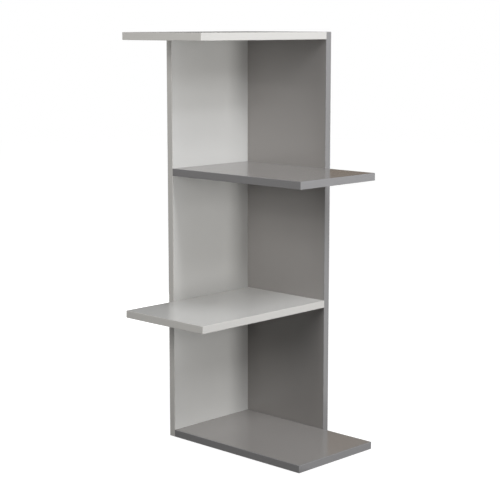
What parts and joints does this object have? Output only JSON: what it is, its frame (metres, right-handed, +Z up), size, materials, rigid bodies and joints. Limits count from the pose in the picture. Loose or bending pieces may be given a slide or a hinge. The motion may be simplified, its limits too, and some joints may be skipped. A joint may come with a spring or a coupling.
{
  "type": "spine bookshelf",
  "caption": "Free-standing corner bookshelf of flat boards: uprights joined in an L carry equal shelves that overhang one side and the other in turn, in light and dark grey.",
  "frame": {"origin": "on the floor, below the middle of the overall footprint", "axes": "+Z up; +X along the right wing towards its open end; -Y along the left wing towards its open end"},
  "size_m": [0.435, 0.435, 1.004],
  "materials": {
    "light_melamine": "satin",
    "dark_melamine": "satin",
    "light_edging": "satin",
    "dark_edging": "satin",
    "cam_zinc": "satin",
    "bolt_steel": "satin",
    "dowel_beech": "matte",
    "glide_plastic": "matte",
    "nail_steel": "satin"
  },
  "bodies": {
    "carcass": {"base_shelf": "dark_melamine", "base_shelf_edging": "dark_edging", "corner_cam_bolts": "bolt_steel", "corner_dowels": "dowel_beech", "floor_glides": "glide_plastic", "glide_nails": "nail_steel", "left_panel": "light_melamine", "left_panel_cam_bolts": "bolt_steel", "left_panel_dowels": "dowel_beech", "left_panel_edging": "light_edging", "lower_shelf": "light_melamine", "lower_shelf_edging": "light_edging", "right_panel": "dark_melamine", "right_panel_cam_bolts": "bolt_steel", "right_panel_dowels": "dowel_beech", "right_panel_edging": "dark_edging", "top_shelf": "light_melamine", "top_shelf_edging": "light_edging", "upper_shelf": "dark_melamine", "upper_shelf_edging": "dark_edging"},
    "base_shelf_left_front_cam": {"base_shelf_left_front_cam": "cam_zinc"},
    "base_shelf_left_rear_cam": {"base_shelf_left_rear_cam": "cam_zinc"},
    "base_shelf_right_front_cam": {"base_shelf_right_front_cam": "cam_zinc"},
    "base_shelf_right_rear_cam": {"base_shelf_right_rear_cam": "cam_zinc"},
    "corner_high_cam": {"corner_high_cam": "cam_zinc"},
    "corner_low_cam": {"corner_low_cam": "cam_zinc"},
    "corner_middle_cam": {"corner_middle_cam": "cam_zinc"},
    "lower_shelf_left_front_cam": {"lower_shelf_left_front_cam": "cam_zinc"},
    "lower_shelf_left_rear_cam": {"lower_shelf_left_rear_cam": "cam_zinc"},
    "lower_shelf_right_front_cam": {"lower_shelf_right_front_cam": "cam_zinc"},
    "lower_shelf_right_rear_cam": {"lower_shelf_right_rear_cam": "cam_zinc"},
    "top_shelf_left_front_cam": {"top_shelf_left_front_cam": "cam_zinc"},
    "top_shelf_left_rear_cam": {"top_shelf_left_rear_cam": "cam_zinc"},
    "top_shelf_right_front_cam": {"top_shelf_right_front_cam": "cam_zinc"},
    "top_shelf_right_rear_cam": {"top_shelf_right_rear_cam": "cam_zinc"},
    "upper_shelf_left_front_cam": {"upper_shelf_left_front_cam": "cam_zinc"},
    "upper_shelf_left_rear_cam": {"upper_shelf_left_rear_cam": "cam_zinc"},
    "upper_shelf_right_front_cam": {"upper_shelf_right_front_cam": "cam_zinc"},
    "upper_shelf_right_rear_cam": {"upper_shelf_right_rear_cam": "cam_zinc"}
  },
  "joints": [
    {"name": "base_shelf_left_front_cam_turn", "type": "hinge", "parent": "carcass", "child": "base_shelf_left_front_cam", "pos_m": [-0.1655, -0.0225, 0.0043], "axis": [0, 0, -1], "range_deg": [0, 180]},
    {"name": "base_shelf_left_rear_cam_turn", "type": "hinge", "parent": "carcass", "child": "base_shelf_left_rear_cam", "pos_m": [-0.1655, 0.1195, 0.0043], "axis": [0, 0, -1], "range_deg": [0, 180]},
    {"name": "base_shelf_right_front_cam_turn", "type": "hinge", "parent": "carcass", "child": "base_shelf_right_front_cam", "pos_m": [0.0225, 0.1655, 0.0043], "axis": [0, 0, -1], "range_deg": [0, 180]},
    {"name": "base_shelf_right_rear_cam_turn", "type": "hinge", "parent": "carcass", "child": "base_shelf_right_rear_cam", "pos_m": [-0.1195, 0.1655, 0.0043], "axis": [0, 0, -1], "range_deg": [0, 180]},
    {"name": "corner_high_cam_turn", "type": "hinge", "parent": "carcass", "child": "corner_high_cam", "pos_m": [-0.2172, 0.1655, 0.83133], "axis": [-1, 0, 0], "range_deg": [0, 180]},
    {"name": "corner_low_cam_turn", "type": "hinge", "parent": "carcass", "child": "corner_low_cam", "pos_m": [-0.2172, 0.1655, 0.17667], "axis": [-1, 0, 0], "range_deg": [0, 180]},
    {"name": "corner_middle_cam_turn", "type": "hinge", "parent": "carcass", "child": "corner_middle_cam", "pos_m": [-0.2172, 0.1655, 0.504], "axis": [-1, 0, 0], "range_deg": [0, 180]},
    {"name": "lower_shelf_left_front_cam_turn", "type": "hinge", "parent": "carcass", "child": "lower_shelf_left_front_cam", "pos_m": [-0.1655, -0.0225, 0.33163], "axis": [0, 0, -1], "range_deg": [0, 180]},
    {"name": "lower_shelf_left_rear_cam_turn", "type": "hinge", "parent": "carcass", "child": "lower_shelf_left_rear_cam", "pos_m": [-0.1655, 0.1195, 0.33163], "axis": [0, 0, -1], "range_deg": [0, 180]},
    {"name": "lower_shelf_right_front_cam_turn", "type": "hinge", "parent": "carcass", "child": "lower_shelf_right_front_cam", "pos_m": [0.0225, 0.1655, 0.33163], "axis": [0, 0, -1], "range_deg": [0, 180]},
    {"name": "lower_shelf_right_rear_cam_turn", "type": "hinge", "parent": "carcass", "child": "lower_shelf_right_rear_cam", "pos_m": [-0.1195, 0.1655, 0.33163], "axis": [0, 0, -1], "range_deg": [0, 180]},
    {"name": "top_shelf_left_front_cam_turn", "type": "hinge", "parent": "carcass", "child": "top_shelf_left_front_cam", "pos_m": [-0.1655, -0.0225, 0.9863], "axis": [0, 0, -1], "range_deg": [0, 180]},
    {"name": "top_shelf_left_rear_cam_turn", "type": "hinge", "parent": "carcass", "child": "top_shelf_left_rear_cam", "pos_m": [-0.1655, 0.1195, 0.9863], "axis": [0, 0, -1], "range_deg": [0, 180]},
    {"name": "top_shelf_right_front_cam_turn", "type": "hinge", "parent": "carcass", "child": "top_shelf_right_front_cam", "pos_m": [0.0225, 0.1655, 0.9863], "axis": [0, 0, -1], "range_deg": [0, 180]},
    {"name": "top_shelf_right_rear_cam_turn", "type": "hinge", "parent": "carcass", "child": "top_shelf_right_rear_cam", "pos_m": [-0.1195, 0.1655, 0.9863], "axis": [0, 0, -1], "range_deg": [0, 180]},
    {"name": "upper_shelf_left_front_cam_turn", "type": "hinge", "parent": "carcass", "child": "upper_shelf_left_front_cam", "pos_m": [-0.1655, -0.0225, 0.65897], "axis": [0, 0, -1], "range_deg": [0, 180]},
    {"name": "upper_shelf_left_rear_cam_turn", "type": "hinge", "parent": "carcass", "child": "upper_shelf_left_rear_cam", "pos_m": [-0.1655, 0.1195, 0.65897], "axis": [0, 0, -1], "range_deg": [0, 180]},
    {"name": "upper_shelf_right_front_cam_turn", "type": "hinge", "parent": "carcass", "child": "upper_shelf_right_front_cam", "pos_m": [0.0225, 0.1655, 0.65897], "axis": [0, 0, -1], "range_deg": [0, 180]},
    {"name": "upper_shelf_right_rear_cam_turn", "type": "hinge", "parent": "carcass", "child": "upper_shelf_right_rear_cam", "pos_m": [-0.1195, 0.1655, 0.65897], "axis": [0, 0, -1], "range_deg": [0, 180]}
  ]
}
